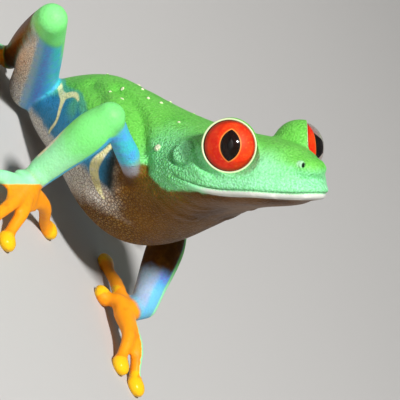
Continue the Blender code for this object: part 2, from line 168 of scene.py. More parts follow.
# "webs" says how far out along its fingers each web runs, and "arches" how high each finger bends
ARMS = {
    "right": {"shoulder": (-2.1, 3.5, 13.5), "elbow": (-13.4, 1.4, 16.0), "wrist": (-11.1, 1.7, 5.9),
              "palm": (-11.1, 0.4, 3.2),
              "fingers": ((-0.9, 4.2), (-12.7, -8.5), (-17.2, -9.8), (-21.0, -4.6)),
              "webs": (0.55, 0.55, 0.5), "arches": (1.2,) * 4, "palm_size": (2.2, 2.4, 1.1)},
    "left": {"shoulder": (9.6, 8.8, 17.6), "elbow": (15.2, 12.8, 9.9), "wrist": (15.5, 3.1, 3.9),
             "palm": (12.9, 0.5, 2.2),
             "fingers": ((14.3, 11.8), (11.5, 3.5), (12.8, -7.4), (16.2, -8.2)),
             "webs": (0.2, 0.6, 0.78), "arches": (0.7, 1.2, 1.2, 1.2), "palm_size": (1.2, 2.4, 1.0)},
}
UPPER_ARM = (1.5, 1.4, 1.3, 1.5)
FOREARM = (1.8, 2.3, 2.2, 1.9, 1.7)
WRIST = (1.7, 1.2)
DIGIT = (1.25, 0.95, 0.8, 0.7, 0.76, 0.65)  # a little thicker at each joint
DISC = (1.3, 1.45, 0.95)  # a pad's half width, half length and half height
DISC_HEIGHT = 0.6  # a pad's middle over the floor
WEB_HOLLOW = 0.38  # how deep the web's free edge curves in
WEB_THICKNESS = 0.7
OFF_LIMBS = (0.31, 0.17, 0.93)  # a direction that no limb follows
lines = {}  # the centre line and thickness of every length of limb, by name


def tube(name, path, radii, steps=10, around=24, closing=7):
    """A ring carried along a smooth curve through the path, its radius running through the radii,
    with a quarter turn of closing rings past each end. The line is kept under its name."""
    line = through(path, steps)
    sizes = through(np.array(radii)[:, None], steps)[:, 0]
    sizes = np.interp(np.linspace(0, 1, len(line)), np.linspace(0, 1, len(sizes)), sizes)
    lines[name] = (line, sizes)
    along = unit(np.gradient(line, axis=0))
    b = np.linspace(0, np.pi / 2 - 0.02, closing)
    front = line[:1] - along[:1] * sizes[0] * np.sin(b[::-1, None])
    behind = line[-1:] + along[-1:] * sizes[-1] * np.sin(b[:, None])
    middle = np.vstack((front, line, behind))
    size = np.concatenate((sizes[0] * np.cos(b[::-1]), sizes, sizes[-1] * np.cos(b)))
    along = np.vstack((along[:1].repeat(closing, 0), along, along[-1:].repeat(closing, 0)))
    across = unit(np.cross(along, OFF_LIMBS))
    other = np.cross(along, across)
    a = once_round(around)[None, :, None]
    ring = np.cos(a) * across[:, None] + np.sin(a) * other[:, None]
    return rings(middle[:, None] + size[:, None, None] * ring)


def digit_path(root, tip, arch):
    """From palm or sole to a pad on the floor: over a knuckle as high as the arch halfway there, and
    low again just before the pad."""
    root, tip = np.array(root), np.array((*tip, DISC_HEIGHT + 0.2))
    knuckle, low = root + 0.5 * (tip - root), root + 0.84 * (tip - root)
    knuckle[2] = 0.5 * max(root[2], tip[2]) + arch
    low[2] = tip[2] + 0.15 * arch
    return np.array((root, knuckle, low, tip))


def web(one, other, reach, across=13, levels=14):
    """The skin between two digits: level t of it runs across from line to line, hollowed at its free
    edge by a sine, and a flat loop of that section is carried outward."""
    a, b = through(one, 30), through(other, 30)
    v = np.concatenate((np.linspace(0, 1, across), np.linspace(1, 0, across)))
    lift = WEB_THICKNESS / 2 * np.repeat((1.0, -1.0), across)
    t = reach * (1 - WEB_HOLLOW * np.sin(np.pi * v)) * np.linspace(0.02, 1, levels)[:, None]
    at = np.rint(t * (len(a) - 1)).astype(int)
    sheet = a[at] + (b[at] - a[at]) * v[:, None]
    return rings(sheet + lift[:, None] * np.array((0.0, 0.0, 1.0)))


def digits(root, tips, arches, reaches, kind, side):
    """The fingers or toes of one hand or foot, each with its pad, and the webs between them."""
    paths = [digit_path(root, *digit) for digit in zip(tips, arches)]
    made = []
    for number, path in enumerate(paths, 1):
        made.append(tube(f"{kind}_{number}_{side}", path, DIGIT))
        along = unit(path[-1, :2] - path[1, :2])
        axes = np.array(((along[1], -along[0], 0), (along[0], along[1], 0), (0, 0, 1)))
        made.append(ball((*path[-1, :2], DISC_HEIGHT), DISC, axes))
    return made + [web(*both, reach) for *both, reach in zip(paths, paths[1:], reaches)]


def length(name, one, other, radii):
    """A straight length of limb from one joint to the other."""
    return tube(name, (one, 0.5 * (np.array(one) + np.array(other)), other), radii)


for side, arm in ARMS.items():
    shoulder, elbow, wrist, palm = (arm[k] for k in ("shoulder", "elbow", "wrist", "palm"))
    flesh += [length("upper_arm_" + side, shoulder, elbow, UPPER_ARM),
              length("forearm_" + side, elbow, wrist, FOREARM),
              tube("hand_" + side, (wrist, palm), WRIST), ball(palm, arm["palm_size"])]
    flesh += digits(palm, arm["fingers"], arm["arches"], arm["webs"], "finger", side)

# ------------------------------
# Hind legs and feet, folded for a jump: thigh forward, shank back along it, then the long foot with
# five webbed toes. They carry the hips just clear of the floor.

LEGS = {
    "right": {"hip": (-4.3, 25.5, 3.3), "knee": (-19.0, 15.5, 13.6), "ankle": (-5.8, 30.6, 1.6),
              "sole": (-14.2, 26.4, 1.3),
              "toes": ((-11.4, 20.2), (-14.2, 16.2), (-18.6, 13.2), (-25.0, 12.4), (-26.2, 20.0))},
    "left": {"hip": (3.4, 25.2, 4.6), "knee": (20.2, 21.8, 11.6), "ankle": (9.5, 40.2, 1.6),
             "sole": (14.6, 31.2, 1.3),
             "toes": ((16.5, 24.8), (21.5, 26.2), (25.8, 28.4), (30.5, 32.5), (26.0, 36.8))},
}
THIGH = (2.9, 2.7, 2.5, 2.2, 1.9)
SHANK = (1.9, 2.05, 1.95, 1.6, 1.2)
TARSUS = (1.2, 1.1, 1.15, 1.35)
SOLE = (2.0, 2.2, 1.1)
TOE_WEBS, TOE_ARCHES = (0.62,) * 4, (0.7,) * 5  # how far out each web runs, how high each toe bends

for side, leg in LEGS.items():
    hip, knee, ankle, sole = (leg[k] for k in ("hip", "knee", "ankle", "sole"))
    flesh += [length("thigh_" + side, hip, knee, THIGH), length("shank_" + side, knee, ankle, SHANK),
              length("foot_" + side, ankle, sole, TARSUS), ball(sole, SOLE)]
    flesh += digits(sole, leg["toes"], TOE_ARCHES, TOE_WEBS, "toe", side)

# ------------------------------
# The skin: all of the above drawn together into one thin moist surface, then worked over with its
# own folds. It is cast whole, so it has no seam at neck or joints.

GRAIN = 0.30  # size of a mesh cell on the body
MM = 0.001


def placed(name, data):
    """A new object in the scene."""
    made = bpy.data.objects.new(name, data)
    bpy.context.scene.collection.objects.link(made)
    return made


def one_surface(forms):
    """All the closed forms as one: filled with voxels and read back as points and four-sided faces."""
    starts = np.cumsum([0] + [len(points) for points, _ in forms[:-1]])
    faces = [[i + start for i in face] for (_, some), start in zip(forms, starts) for face in some]
    mesh = bpy.data.meshes.new("forms")
    mesh.from_pydata(np.vstack([points for points, _ in forms]), [], faces)
    whole = placed("forms", mesh)
    union = whole.modifiers.new("union", "REMESH")
    union.mode = "VOXEL"
    union.voxel_size = GRAIN
    made = whole.evaluated_get(bpy.context.evaluated_depsgraph_get()).to_mesh()
    points = np.empty(len(made.vertices) * 3)
    made.vertices.foreach_get("co", points)
    faces = np.empty(len(made.loops), int)
    made.loops.foreach_get("vertex_index", faces)
    bpy.data.objects.remove(whole)
    return points.reshape(-1, 3), faces.reshape(-1, 4)


def edges_of(faces):
    """Every edge once, as its two points in rising order."""
    pairs = np.stack((faces, np.roll(faces, -1, axis=1)), -1).reshape(-1, 2)
    return np.unique(np.sort(pairs, axis=1), axis=0)


def smoothed(values, edges, turns, share=0.5, back=0.0):
    """Each turn moves the values a share of the way to their neighbours' mean, then some way back
    out, so that thin lengths don't shrink."""
    valence = np.bincount(edges.ravel(), minlength=len(values))[:, None]

    def off_mean(v):
        sums = [np.bincount(edges[:, 0], c[edges[:, 1]], len(v))
                + np.bincount(edges[:, 1], c[edges[:, 0]], len(v)) for c in v.T]
        return np.stack(sums, -1) / valence - v

    for _ in range(turns):
        values = values + share * off_mean(values)
        values = values - back * off_mean(values)
    return values


def finer(points, faces, near):
    """Halves the edges between points that are near: a face with three such edges becomes four faces,
    and one with a single such edge becomes two."""
    pairs = np.sort(np.stack((faces, np.roll(faces, -1, axis=1)), -1), axis=-1)
    halved = near[pairs].all(-1)
    ends, number = np.unique(pairs[halved], axis=0, return_inverse=True)
    middle = np.zeros(faces.shape, int)
    middle[halved] = len(points) + number.reshape(-1)
    count = halved.sum(1)
    (a, b, c), (ab, bc, ca) = faces[count == 3].T, middle[count == 3].T
    quarters = np.hstack([np.stack(t) for t in ((a, ab, ca), (ab, b, bc), (ca, bc, c), (ab, bc, ca))]).T
    one, at = faces[count == 1], halved[count == 1].argmax(1)
    row = np.arange(len(one))
    a, b, c = one[row, at], one[row, (at + 1) % 3], one[row, (at + 2) % 3]
    m = middle[count == 1][row, at]
    halves = np.hstack([np.stack(t) for t in ((a, m, c), (m, b, c))]).T
    return np.vstack((points, points[ends].mean(1))), np.vstack((faces[count == 0], quarters, halves))


def normals_of(points, faces):
    """The unit sum of the normals of the faces round each point."""
    a, b, c = (points[faces[:, k]] for k in range(3))
    cross = np.cross(b - a, c - a)
    total = [np.bincount(faces.ravel(), cross[:, k].repeat(3), len(points)) for k in range(3)]
    return unit(np.stack(total, -1))


points, faces = one_surface(flesh)
points = smoothed(points, edges_of(faces), turns=8, share=0.6, back=0.57)
points = smoothed(points, edges_of(faces), turns=2)
faces = np.vstack((faces[:, [0, 1, 2]], faces[:, [0, 2, 3]]))


# The places of the face, as distance ahead of the eyes, to the side and up.
MOUTH_LINE = ((-6.6, -3.9), (-5.0, -4.4), (-3.4, -4.65), (-1.9, -4.85), (-0.4, -4.92), (1.1, -4.85),
              (3.9, -4.5), (6.2, -4.35), (7.7, -4.2), (8.7, -3.98), (9.6, -3.7))  # ahead and up only
MOUTH_CORNER = -5.6
NOSTRIL = (7.7, 1.70, -0.98)
SLIT_AXIS = unit((-0.25, -0.37, 0.89))  # the long way of its opening
SLIT_HALF_LENGTH, SLIT_HALF_WIDTH = 0.40, 0.17
EARDRUM = (-5.6, 7.45, -1.5)
EARDRUM_HALF = (1.2, 1.5)  # half width and half height
LID_AHEAD, LID_RADIUS = 0.78, 3.0  # the lids' rim, ahead of the eye's centre
EYE_OUT, EYE_LIFT = np.radians((44.0, 8.5))  # how far out from ahead, and how far up, the eye looks
# warts and small pale spots: ahead, to the right, up, radius
WARTS = ((-9.77, 7.4, -1.8, 0.42), (-21.2, 4.1, 2.9, 0.22), (-19.3, 5.3, 1.7, 0.22),
         (-20.0, 1.9, 3.6, 0.22), (-17.5, 2.8, 2.7, 0.22), (-16.0, 1.9, 2.6, 0.22),
         (-10.7, 3.6, 1.3, 0.24), (-21.6, 5.5, 1.9, 0.22), (-23.6, -0.3, 4.5, 0.30),
         (-13.2, -1.2, 2.3, 0.24), (-17.6, -1.0, 3.1, 0.2), (-26.5, 2.6, 4.0, 0.2),
         (-9.77, -7.4, -1.8, 0.42))


def eye_axes(side):
    """An eye's centre, where it looks, and its own up."""
    ahead, up = np.cos(EYE_OUT) * np.cos(EYE_LIFT), np.sin(EYE_LIFT)
    aim = on_body(ahead, side * np.sin(EYE_OUT) * np.cos(EYE_LIFT), up) - EYES_AT
    top = on_body(0.0, 0.0, 1.0) - EYES_AT
    return on_body(0.0, side * EYE_SPREAD, 0.0), aim, unit(top - (top @ aim) * aim)


def off_eye(points, side):
    """How far each point is in front of an eye's centre, and how far from the line it looks along."""
    centre, aim, _ = eye_axes(side)
    out = points - centre
    front = out @ aim
    return front, np.linalg.norm(out - front[:, None] * aim, axis=1)


def mirrored(points):
    """Each point's distance ahead, to its own side and up."""
    ahead, side, rise = off_body(points)
    return ahead, np.abs(side), rise


def beyond(points, place, height=1.0):
    """Distance of each point from a place on the body, given for the left and taken on both sides.
    The rise counts for less by the height, so that what lies equally far is an upright oval."""
    ahead, side, rise = (own - there for own, there in zip(mirrored(points), place))
    return np.sqrt(ahead ** 2 + side ** 2 + (rise / height) ** 2)


def over(line, points):
    """Height over the curve through a line of places, each given as distance ahead and up."""
    ahead, _, rise = off_body(points)
    x, y = through(line, 8).T
    return rise - np.interp(ahead, x, y)


def off_wart(points):
    """Distance of each point from the nearest wart, over that wart's radius, and its radius."""
    ahead, side, rise = off_body(points)
    near = np.stack([np.sqrt((ahead - a) ** 2 + (side + s) ** 2 + (rise - r) ** 2) / radius
                     for a, s, r, radius in WARTS])
    return near.min(0), np.array(WARTS)[near.argmin(0), 3]


# The mesh is made finer this far round each feature, in radii for a wart, and once more close to
# nostrils and warts.
FINE_MOUTH, FINE_NOSTRIL, FINE_EARDRUM, FINE_LID, FINE_WART = 0.95, 1.3, 2.3, 0.75, 2.6
FINEST_NOSTRIL, FINEST_WART = 0.8, 1.6
fine = (np.abs(over(MOUTH_LINE, points)) < FINE_MOUTH) & (off_body(points)[0] > MOUTH_CORNER - 1.0)
fine |= beyond(points, NOSTRIL) < FINE_NOSTRIL
fine |= beyond(points, EARDRUM) < FINE_EARDRUM
fine |= off_wart(points)[0] < FINE_WART
for eye_side in (1, -1):
    front, off_axis = off_eye(points, eye_side)
    fine |= (np.abs(front - LID_AHEAD) < FINE_LID) & (np.abs(off_axis - LID_RADIUS) < FINE_LID)
points, faces = finer(points, faces, fine)
finest = (beyond(points, NOSTRIL) < FINEST_NOSTRIL) | (off_wart(points)[0] < FINEST_WART)
points, faces = finer(points, faces, finest)
points = smoothed(points, edges_of(faces), turns=2, share=0.4, back=0.38)

# The lids: whatever stands before the window of an eye is pressed back behind a level, which is low
# inside the rim, steps up across it and slopes forward outside it.
LID_STEP, LID_EDGE, LID_SLOPE = 0.55, 0.12, 2.0
LID_FADE = (0.9, 3.0)  # how far outside the rim the pressing starts to fade, and ends
BEFORE_FACE = 5.0  # nothing so far before an eye belongs to it
for eye_side in (1, -1):
    front, off_axis = off_eye(points, eye_side)
    outside = off_axis - LID_RADIUS
    level = LID_AHEAD - LID_STEP * ease(LID_EDGE, -LID_EDGE, outside)
    level += LID_SLOPE * np.maximum(outside - 0.1, 0)
    pressed = ease(LID_FADE[1], LID_FADE[0], outside) * (front < BEFORE_FACE)
    points -= (pressed * np.maximum(front - level, 0.0))[:, None] * eye_axes(eye_side)[1]

# The face is pushed out or in along its normals. Mouth: a groove, with a rounded lip under it, a furrow
# under that and a soft edge above. Each is how far out, at what height over the line, and how broad.
GROOVE = (-0.14, 0.0, 0.11)
LIP_RIDGE, UNDER_LIP, OVER_LIP = (0.14, -0.42, 0.26), (-0.14, -1.0, 0.3), (0.05, 0.3, 0.22)
SNOUT_TIP = 9.1  # how far ahead it is: a hollow under it, and a brow over the lip
BESIDE_NOSTRIL = (7.6, 2.6, -2.25)  # a shallow dent
EYE_FOLD = (-0.46, 3.75, 0.36)  # a furrow behind each eye, on a radius round it
RING_GAP, RING_BREADTH = 0.26, 0.2  # the furrow round the eardrum
ahead, side, rise = off_body(points)
normal = normals_of(points, faces)
high = over(MOUTH_LINE, points)


def raised(out, at, breadth, where=high):
    """A ridge, or a furrow where out is negative."""
    return out * hump(where, at, breadth)


lips = raised(*LIP_RIDGE) + raised(*UNDER_LIP) + raised(*OVER_LIP)
push = raised(*GROOVE) + ease(-4.8, -1.8, ahead) * lips
push *= ease(MOUTH_CORNER - 0.6, MOUTH_CORNER + 0.6, ahead)
push -= 0.16 * hump(ahead, MOUTH_CORNER - 0.2, 0.5) * hump(high, -0.1, 0.3)

# Nostrils: a slit in a low mound with a ring round it.
nostril = beyond(points, NOSTRIL)
from_nostril = np.stack(mirrored(points), -1) - NOSTRIL
long_way = from_nostril @ SLIT_AXIS
short_way = np.linalg.norm(from_nostril - long_way[:, None] * SLIT_AXIS, axis=1)
slit = np.hypot(long_way / SLIT_HALF_LENGTH, short_way / SLIT_HALF_WIDTH)
push += raised(0.22, 0.0, 1.15, nostril) + raised(0.06, 0.42, 0.18, nostril) + raised(-0.34, 0.0, 0.9, slit)
push += (raised(0.10, -3.6, 0.35, rise) + raised(-0.85, -2.4, 0.65, rise)) * hump(ahead, SNOUT_TIP, 1.15)
push += raised(-0.34, 0.0, 0.85, beyond(points, BESIDE_NOSTRIL))

# The furrow behind each eye, and the eardrum: a tilted disc in a furrow, deeper below and behind.
for eye_side in (1, -1):
    centre, aim, _ = eye_axes(eye_side)
    front, off_axis = off_eye(points, eye_side)
    behind = unit(points - centre - front[:, None] * aim) @ -unit(FORWARD - (FORWARD @ aim) * aim)
    push += raised(*EYE_FOLD, off_axis) * ease(-0.1, 0.7, behind) * ease(-3.5, -1.0, front)
half_width, half_height = EARDRUM_HALF
eardrum = beyond(points, EARDRUM, half_height / half_width)
low_behind = ease(-1.2, 1.2, (EARDRUM[0] - ahead) + (EARDRUM[2] - rise))
disc = ease(half_width + 0.12, half_width - 0.12, eardrum)
push += disc * (0.24 + 0.24 * (EARDRUM[0] - ahead) / half_width)
push -= (0.14 + 0.24 * low_behind) * hump(eardrum, half_width + RING_GAP, RING_BREADTH)
wart, wart_radius = off_wart(points)
push += 0.95 * wart_radius * np.sqrt(np.maximum(1 - (wart / 1.15) ** 2, 0))

# Soft folds and furrows: a line on the body, how far out it stands, and how broad it is.
CHEEK = ((-6.2, 6.2, -0.4), (-4.6, 7.0, -1.1), (-3.6, 7.4, -1.9), (-3.0, 7.8, -2.7), (-1.8, 7.85, -3.3))
SHOULDER_FURROW = ((-21.5, 4.6, 2.5), (-19.9, 4.7, 2.2), (-18.3, 4.7, 1.9), (-16.1, 5.2, 1.0),
                   (-14.5, 5.9, 0.1), (-13.1, 6.8, -1.1), (-12.2, 7.3, -2.1), (-11.2, 8.0, -3.0),
                   (-10.6, 8.2, -4.2))
SHOULDER = ((-21.0, 6.0, 0.9), (-18.8, 6.3, 0.7), (-16.6, 6.8, -0.3), (-15.0, 7.2, -1.3), (-14.0, 7.6, -2.4))
HIP_HOLLOW = ((-25.5, 5.3, 1.7), (-23.2, 5.9, 1.0), (-21.5, 6.2, 0.6))
JAW_FOLD = ((-6.6, 7.9, -6.3), (-5.3, 6.9, -7.2), (-5.0, 5.0, -8.0), (-4.1, 3.5, -8.0))
THROAT_FOLD = ((-9.2, 7.6, -7.0), (-8.2, 6.6, -8.2), (-7.8, 4.6, -9.3), (-7.4, 2.6, -9.7))
for stops, out, breadth in ((CHEEK, 0.35, 0.9), (HIP_HOLLOW, -0.50, 1.1), (JAW_FOLD, 0.10, 0.45),
                            (THROAT_FOLD, 0.10, 0.45), (SHOULDER_FURROW, -0.55, 0.75), (SHOULDER, 0.35, 1.0)):
    away = np.minimum.reduce([beyond(points, place) for place in through(stops, 5)])
    push += raised(out, 0.0, breadth, away)
    if stops in (JAW_FOLD, THROAT_FOLD):
        push += raised(-0.05, 0.9, 0.4, away)
spine = ease(-14, -20, ahead) * ease(-37, -32, ahead) * ease(0, 2, rise)
push += raised(-0.15, 0.0, 0.8, side) * spine
points += push[:, None] * normal

# The floor flattens what rests on it.
points[:, 2] = np.maximum(points[:, 2], 0.0)
normal = normals_of(points, faces)


def along_line(name):
    """For each point by one length of limb: its distance from the centre line over the thickness
    there, its share of the way along, and its unit offset from the line. Each point is dropped on
    every span of the line and keeps the nearest."""
    line, sizes = lines[name]
    reach = 1.6 * sizes.max() + 1.0
    by = ((points > line.min(0) - reach) & (points < line.max(0) + reach)).all(1).nonzero()[0]
    a, span = line[:-1], np.diff(line, axis=0)
    t = (((points[by, None] - a) * span).sum(-1) / (span ** 2).sum(-1)).clip(0, 1)
    off = points[by, None] - a - t[..., None] * span
    far = np.linalg.norm(off, axis=-1)
    best, row = far.argmin(1), np.arange(len(by))
    t, off, far = t[row, best], off[row, best], far[row, best]
    ratio, share, offset = np.full(len(points), 9.0), np.zeros(len(points)), np.zeros((len(points), 3))
    ratio[by] = far / (sizes[best] + t * (sizes[best + 1] - sizes[best]))
    share[by] = (best + t) / len(span)
    offset[by] = off / np.maximum(far, 1e-6)[:, None]
    return ratio, share, offset


limbs = {name: along_line(name) for name in lines}

# The parts share each point by how near their surfaces are, so that colours pass into one another.
PASSING = 0.35
ahead, side, rise = off_body(points)
rows = through(BODY_ROWS, BODY_STEPS)[::-1].T
width, back, middle, foot = (np.interp(ahead, rows[0], sizes) for sizes in rows[1:5])
reach = np.where(rise > middle, back - middle, middle - foot)
body_ratio = np.sqrt((side / width) ** 2 + ((rise - middle) / reach) ** 2)
closeness = {"body": np.exp(-np.maximum(body_ratio - 1, 0) * np.minimum(width, reach) / PASSING)}
for name, (ratio, share, offset) in limbs.items():
    gap = np.maximum(ratio - 1, 0) * lines[name][1].mean()
    closeness[name] = np.exp(-gap / PASSING)
# each wrist keeps the forearm's colours as far as this share of the way to the middle of the palm
for arm_side, last in (("left", 1.1), ("right", 0.85)):
    hand = "hand_" + arm_side
    wrist_part = closeness[hand] * ease(last, last - 0.4, limbs[hand][1])
    closeness["forearm_" + arm_side] += wrist_part
    closeness[hand] -= wrist_part
total = sum(closeness.values()) + 1e-9


def share_of(*words):
    """How far each point belongs to the parts whose names begin with one of these words."""
    return sum(c for name, c in closeness.items() if name.startswith(words)) / total


def facing(name, direction):
    """The cosine between each point's offset from a limb's line and a direction."""
    return limbs[name][2] @ unit(direction)


# Face and back: mint below a line from the nostril over the eardrum, leaf green above it.
CHEEK_PAINTED_LIGHT = (4.4, 4.6, -1.4)  # the middle of the painted light in front of each eye
JAW_ANGLE = (-7.5, 8.2, -3.6)  # the middle of the coarse skin behind the mouth
marks = {}  # every value that the skin's colours follow, point by point
snout = ease(0.0, 4.0, ahead)
marks["mint"] = ease(1.4 - 0.9 * snout, -3.0 + 1.7 * snout, rise + 0.12 * ahead) * ease(-15, -8, ahead)
marks["mouth"] = np.abs(high) + 5 * (1 - ease(MOUTH_CORNER - 0.7, MOUTH_CORNER + 0.2, ahead))
marks["lip"] = ease(-4.8, -2.6, ahead) * ease(-0.06, -0.14, high) * ease(-0.92, -0.76, high)
marks["lip_front"] = ease(-2.8, -0.6, ahead)
# painted sheen: a pale gloss along the upper lip
marks["lip_painted_sheen"] = hump(high, 0.85, 0.75) * ease(-3, 2, ahead)
marks["slit"] = slit
marks["nostril"] = beyond(points, (NOSTRIL[0] - 0.28, NOSTRIL[1] + 0.12, NOSTRIL[2]))
marks["wart"] = wart
# painted light: a pale patch in front of each eye, and over the eardrum
marks["cheek_painted_light"] = hump(beyond(points, CHEEK_PAINTED_LIGHT), 0.0, 1.9) + 0.7 * disc
marks["jaw"] = hump(beyond(points, JAW_ANGLE), 0.0, 3.2)

# Flank: deep blue, between the green of the back and the pale belly, with cream bars across it. Lines
# are distance ahead and up, and the stops of a bar have its half width too.
FLANK_TOP = ((-38, 0.3), (-34, 0.2), (-30.2, 0.3), (-27, 0.3), (-25, 0.0), (-23.5, -0.9), (-20, -2.2),
             (-16, -2.7), (-14, -3.1), (-12.6, -3.4), (-10.7, -4.2), (-9.6, -5.0), (-7.9, -5.8), (-6.5, -6.1),
             (-4.5, -5.75), (-2.5, -5.55), (-1.0, -5.5), (9.6, -4.3))
FLANK_FOOT = ((-38, -1.8), (-34, -3.2), (-30, -4.9), (-28, -6.0), (-23, -7.2), (-18, -8.0), (-14, -9.7))
FLANK_END = -15.4


def bar(stops):
    """Distance outside a stripe drawn on the side through its stops."""
    x, y, half = through(stops, 12).T
    away = np.hypot(ahead[:, None] - x, rise[:, None] - y) - half
    return away.min(1)


below_green = -over(FLANK_TOP, points)
marks["back"] = 0.5 - below_green / 1.6 - 1.5 * ease(0.02, 0.25, share_of("thigh"))
marks["flank"] = np.minimum(0.5 + over(FLANK_FOOT, points) / 2.4, 0.5 + (FLANK_END - ahead) / 2.4)
# painted shade: the throat, chest and belly's underside turn brown, forward of the armpit and toward the
# bottom
marks["shaded_chest"] = np.maximum(0.5 + (ahead + 16.5) / 6.0, 0.5 + (-10.9 - rise) / 2.4)
CREAM_BARS = (((-31.6, 0.9, 0.25), (-30.4, 0.2, 0.32), (-29.3, -0.6, 0.36), (-28.3, -1.15, 0.5),
               (-27.8, -2.4, 0.30), (-27.5, -4.2, 0.22), (-28.6, -5.6, 0.2)),
              ((-28.3, -1.1, 0.5), (-27.2, -0.5, 0.42), (-26.2, -0.4, 0.3), (-25.0, -0.9, 0.12)),
              ((-23.5, -3.9, 0.15), (-23.3, -5.2, 0.3), (-23.9, -7.6, 0.4)),
              ((-16.2, -3.2, 0.2), (-17.3, -5.0, 0.35), (-18.3, -7.0, 0.7), (-17.6, -8.7, 0.5),
               (-16.8, -9.8, 0.2)))
marks["bars"] = np.minimum.reduce([bar(stops) for stops in CREAM_BARS]) + 3 * ease(0.6, 0.3, share_of("body"))
belly = ease(0.7, 0.3, marks["back"]) * ease(0.6, 0.4, marks["flank"]) * share_of("body")
# painted shade on the flank toward the armpit
marks["armpit_shade"] = ease(-17.6, -15.8, ahead)
groin = 0.8 * hump(ahead, -25.3, 1.6) * ease(4.5, 2.0, below_green)
marks["groin"] = np.maximum(ease(2.4, 0.3, below_green), groin)

# Limbs. Each length is green where it faces out, and keeps blue on its hidden sides, with painted shade in
# brown at the shoulders, on the left forearm's top and on the shanks' hidden sides.
green, blue, violet, cream, pale, brown, frost, frosty, sky = (np.zeros(len(points)) for _ in range(9))
GREEN_SIDE = {"forearm_right": (-0.85, -0.45, 0.1), "forearm_left": (0.85, -0.3, 0.45),
              "thigh_right": (0.3, -0.35, 0.9), "thigh_left": (-0.2, -0.35, 0.9),
              "shank_right": (-0.5, 0.1, 0.9), "shank_left": (0.5, 0.1, 0.9)}


def on_limb(kind, side):
    """How far each point belongs to a length of limb, its way along it, and how far it faces out."""
    name = kind + "_" + side
    return share_of(name), limbs[name][1], facing(name, GREEN_SIDE[name])


for limb_side, out in (("right", -1), ("left", 1)):
    upper_arm = "upper_arm_" + limb_side
    own, along = share_of(upper_arm), limbs[upper_arm][1]
    blue += own * ease(0.15, 0.5, along)
    frost += 0.6 * own * ease(0.5, 0.9, own) * hump(along, 0.26, 0.12)
    # painted shade: the shoulder end turns brown like the shaded chest
    brown += own * ease(0.24, 0.06, along)
    violet += own * ease(0.7, 1.0, along)

    own, along, turn = on_limb("forearm", limb_side)
    start = 0.05 if limb_side == "right" else 0.72
    shown = np.maximum(ease(start - 0.12, start + 0.12, turn), ease(0.16, 0.06, along))
    green += own * shown
    blue += own * (1 - shown)
    frosty += own * ease(0.25, 0.85, along)
    edge = facing("forearm_" + limb_side, (0.775 * out, 0.608, -0.163))
    cream += own * ease(0.74, 0.94, edge) * ease(0.35, 0.75, along) * ease(1.0, 0.9, along)
    if limb_side == "left":
        # painted shadow: brown toward the elbow, where the body shades the forearm
        brown += own * (1 - shown) * ease(0.78, 0.48, along)
        frost += 0.7 * own * ease(0.35, -0.3, turn) * ease(0.46, 0.66, along)
        violet += own * (1 - shown) * ease(-0.5, 0.1, turn) * hump(along, 0.68, 0.09)
        sky += own * ease(-0.3, 0.4, turn) * ease(0.66, 0.90, along)

    own, along, turn = on_limb("thigh", limb_side)
    knee = ease(0.80, 0.99, along + 0.13 * turn)
    shown = np.maximum(ease(0.6, 1.0, turn) * ease(0.2, 0.9, along), knee)
    green += own * shown
    blue += own * (1 - shown)
    violet += 0.8 * own * hump(turn, 0.12, 0.3) * (1 - knee)
    frost += 0.6 * own * hump(turn, -0.3, 0.22) * (1 - knee)
    pale += own * ease(-0.25, -0.6, turn) * (1 - knee)

    own, along, turn = on_limb("shank", limb_side)
    shown = np.maximum(ease(0.1, 0.7, turn), ease(0.14, 0.02, along))
    green += own * shown
    # painted shade: brown on the shank's hidden side
    brown += own * (1 - shown)
marks.update(limb_green=green, limb_blue=blue, violet=violet, edge=cream, pale=pale, brown=brown,
             frost=frost, frosty=frosty + 0.4 * share_of("thigh"), sky=sky)
marks["plain"] = share_of("upper_arm", "forearm", "thigh", "shank") * (1 - pale)
coarse_belly = belly * ease(-5.0, -11.0, ahead) * (0.45 + 0.55 * ease(-12.0, -17.0, ahead))
marks["coarse"] = np.maximum.reduce([marks["jaw"], pale, coarse_belly])

# Hands and feet: orange, the pads clearer and yellower, the outermost digit green along its top.
marks["orange"] = share_of("hand", "finger", "foot", "toe")
pads = [limbs[n][1] * (limbs[n][0] < 4) for n in limbs if n.startswith(("finger", "toe"))]
marks["pad"] = ease(0.80, 0.92, np.maximum.reduce(pads))
# the back of the right hand, above a level that slopes across it
ACROSS_HAND, HAND_LEVEL = unit((-0.61, 0.65, 0.46)), 8.85
outer = ease(0.0, 0.1, share_of("hand_right", *(f"finger_{n}_right" for n in range(1, 5))))
outer *= ease(-0.25, 0.25, points @ ACROSS_HAND - HAND_LEVEL)
for name, rear in (("finger_4_left", (0.8, 0.2, 0.5)), ("hand_left", (0.8, 0.3, 0.2)),
                   ("toe_5_right", (-0.3, 0.6, 0.7)), ("toe_5_left", (0.3, 0.6, 0.7)),
                   ("foot_right", (-0.4, 0.5, 0.7)), ("foot_left", (0.4, 0.5, 0.7))):
    along = limbs[name][1]
    outer = np.maximum(outer, share_of(name) * ease(0.1, 0.5, facing(name, rear)) * ease(0.85, 0.7, along))
marks["outer"] = outer * (1 - marks["pad"])


def piece(name, points, faces, finish, marks=None):
    """A smooth mesh object, brought to the frame, with its material and a value for each mark."""
    mesh = bpy.data.meshes.new(name)
    mesh.from_pydata((points + to_frame) * MM, [], faces)
    mesh.update()
    mesh.shade_smooth()
    for mark, values in (marks or {}).items():
        data = mesh.attributes.new(mark, "FLOAT", "POINT").data
        data.foreach_set("value", np.asarray(values, np.float32))
    mesh.materials.append(finish)
    return placed(name, mesh)


# the middle of the right eye, here and in the frame, tells how far every place is moved
to_frame = np.mean(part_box("eye_right"), axis=0) / MM - on_body(0.0, -EYE_SPREAD, 0.0)


